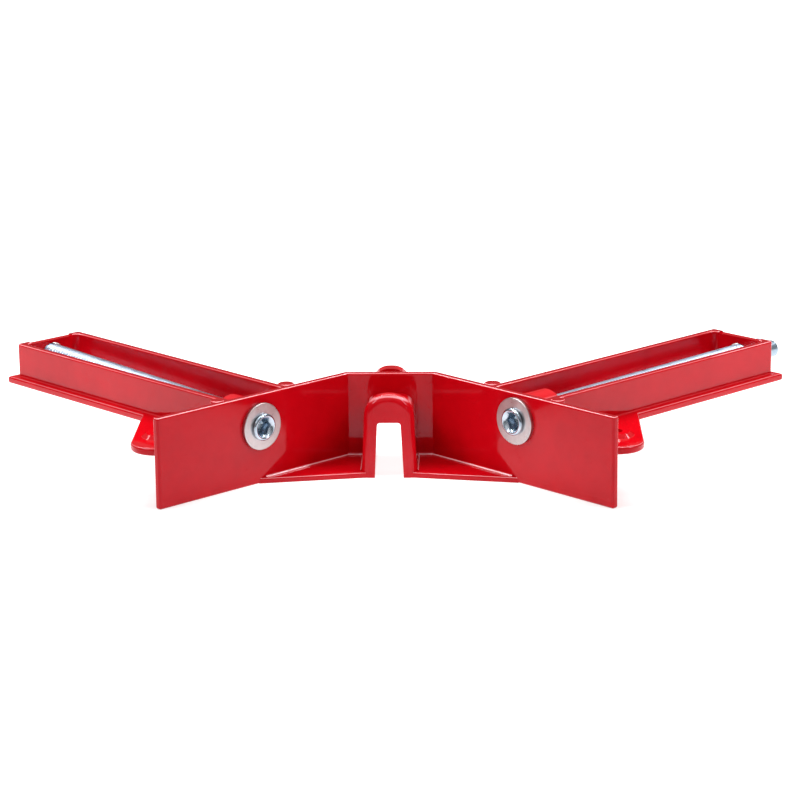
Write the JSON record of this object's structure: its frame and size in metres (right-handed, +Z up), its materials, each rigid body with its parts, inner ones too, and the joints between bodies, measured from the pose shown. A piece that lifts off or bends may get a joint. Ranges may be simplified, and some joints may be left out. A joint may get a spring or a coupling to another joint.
{
  "type": "corner clamp",
  "caption": "Right-angle clamp for mitred frame corners: a cast body with a V fence, saw slot and open arms, and jaws drawn to the fence by hex-socket screws.",
  "frame": {"origin": "centre of the footprint, at the height of the wings' lower edge on which the clamp stands as shown", "axes": "+X to the right across both arms, +Y away from the washers' side towards the arms' ends, +Z up; in use the clamp is turned over, so +Z then faces the bench"},
  "size_m": [0.3338, 0.1527, 0.037],
  "materials": {
    "red_enamel": "gloss red enamel over a casting",
    "screw_zinc": "bright zinc plate, bluish",
    "washer_zinc": "bright zinc plate",
    "bush_steel": "plain turned steel"
  },
  "bodies": {
    "clamp_frame": {"clamp_body": "red_enamel", "right_washer": "washer_zinc", "left_washer": "washer_zinc"},
    "right_jaw": {"right_jaw": "red_enamel", "right_jaw_bush": "bush_steel"},
    "right_screw": {"right_screw": "screw_zinc"},
    "left_jaw": {"left_jaw": "red_enamel", "left_jaw_bush": "bush_steel"},
    "left_screw": {"left_screw": "screw_zinc"}
  },
  "joints": [
    {"name": "right_jaw_slide", "type": "slide", "parent": "clamp_frame", "child": "right_jaw", "axis": [0.7071, 0.7071, 0.0099], "range_m": [0, 0.09]},
    {"name": "right_screw_turn", "type": "hinge", "parent": "clamp_frame", "child": "right_screw", "pos_m": [0.05119, -0.03972, 0.0257], "axis": [-0.7071, -0.7071, -0.0099], "range_deg": [0, 18516]},
    {"name": "left_jaw_slide", "type": "slide", "parent": "clamp_frame", "child": "left_jaw", "axis": [-0.7067, 0.7067, 0.0342], "range_m": [0, 0.09]},
    {"name": "left_screw_turn", "type": "hinge", "parent": "clamp_frame", "child": "left_screw", "pos_m": [-0.05119, -0.03972, 0.0239], "axis": [0.7067, -0.7067, -0.0342], "range_deg": [0, 18516]}
  ],
  "couplings": [
    {"joint": "right_screw_turn", "follows": "right_jaw_slide", "rad_per_m": 3590.4},
    {"joint": "left_screw_turn", "follows": "left_jaw_slide", "rad_per_m": 3590.4}
  ]
}
